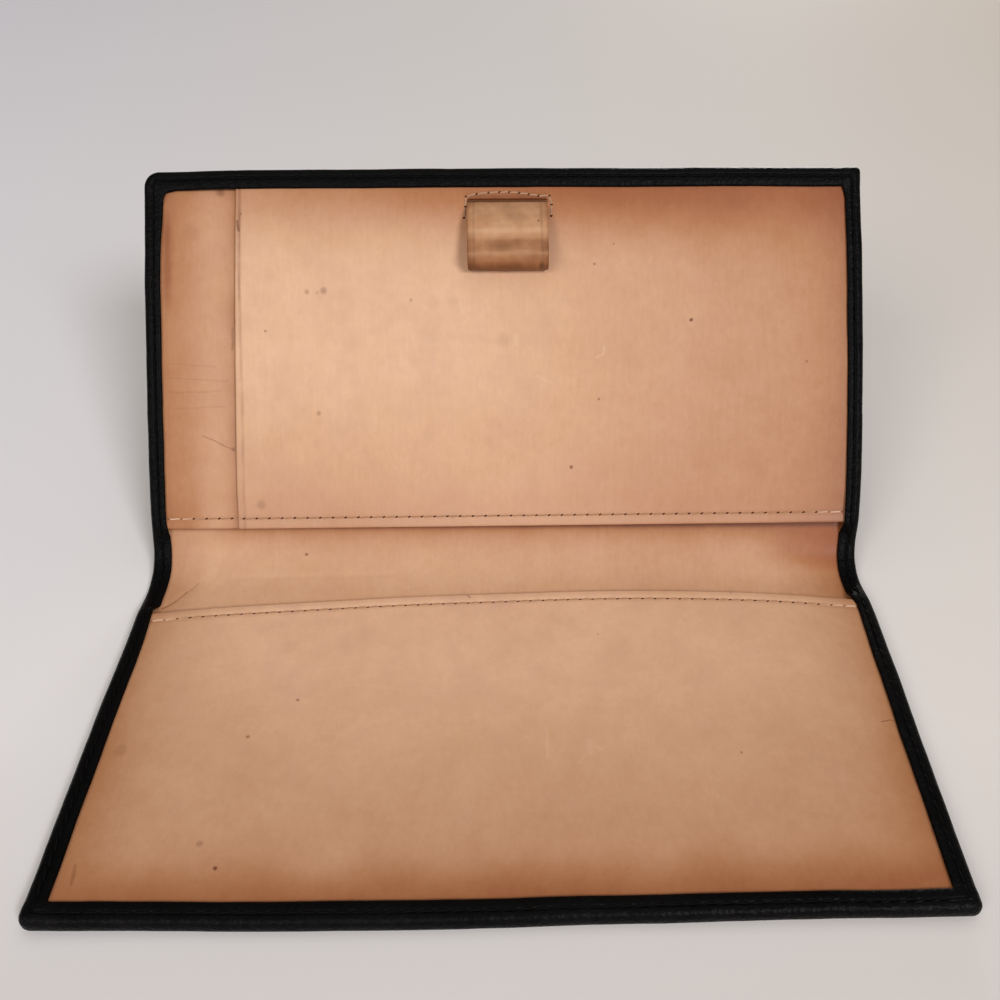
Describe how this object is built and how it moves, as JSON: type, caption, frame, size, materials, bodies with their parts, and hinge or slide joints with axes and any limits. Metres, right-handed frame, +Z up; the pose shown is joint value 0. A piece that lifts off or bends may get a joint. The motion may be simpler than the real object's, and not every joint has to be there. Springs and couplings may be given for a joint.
{
  "type": "checkbook cover",
  "caption": "Wide leather checkbook cover with a soft folding spine, a bowed check pocket, a side-opening register pocket and a pen loop.",
  "frame": {"origin": "middle of the lower half's underside, on the surface it lies on", "axes": "+X along the fold to the right, +Y from the lower half's free edge towards the spine, +Z up"},
  "size_m": [0.1714, 0.1501, 0.0781],
  "materials": {
    "outer_leather": "black glove-tanned cowhide, soft satin",
    "lining_leather": "tan vegetable-tanned leather, smooth",
    "panel_leather": "tan vegetable-tanned leather, smooth, darkened at its edges by use",
    "loop_leather": "tan vegetable-tanned leather, soiled olive-brown"
  },
  "bodies": {
    "lower_half": {"cover_lower": "outer_leather", "lining_lower": "lining_leather", "check_pocket": "panel_leather"},
    "spine": {"cover_spine": "outer_leather", "lining_spine": "lining_leather"},
    "upper_half": {"cover_upper": "outer_leather", "lining_upper": "lining_leather", "upper_facing": "panel_leather", "register_pocket": "panel_leather", "pen_loop": "loop_leather"}
  },
  "joints": [
    {"name": "spine_fold", "type": "hinge", "parent": "lower_half", "child": "spine", "pos_m": [0, 0.0428, 0.0005], "axis": [1, 0, 0], "range_deg": [-21.8, 53.8], "deforming": ["cover_spine", "lining_spine"]},
    {"name": "cover_fold", "type": "hinge", "parent": "spine", "child": "upper_half", "pos_m": [0, 0.05477, 0.00926], "axis": [1, 0, 0], "range_deg": [-30.2, 74.3], "deforming": ["cover_spine", "lining_spine"]}
  ],
  "couplings": [
    {"joint": "cover_fold", "follows": "spine_fold", "ratio": 1.38}
  ]
}
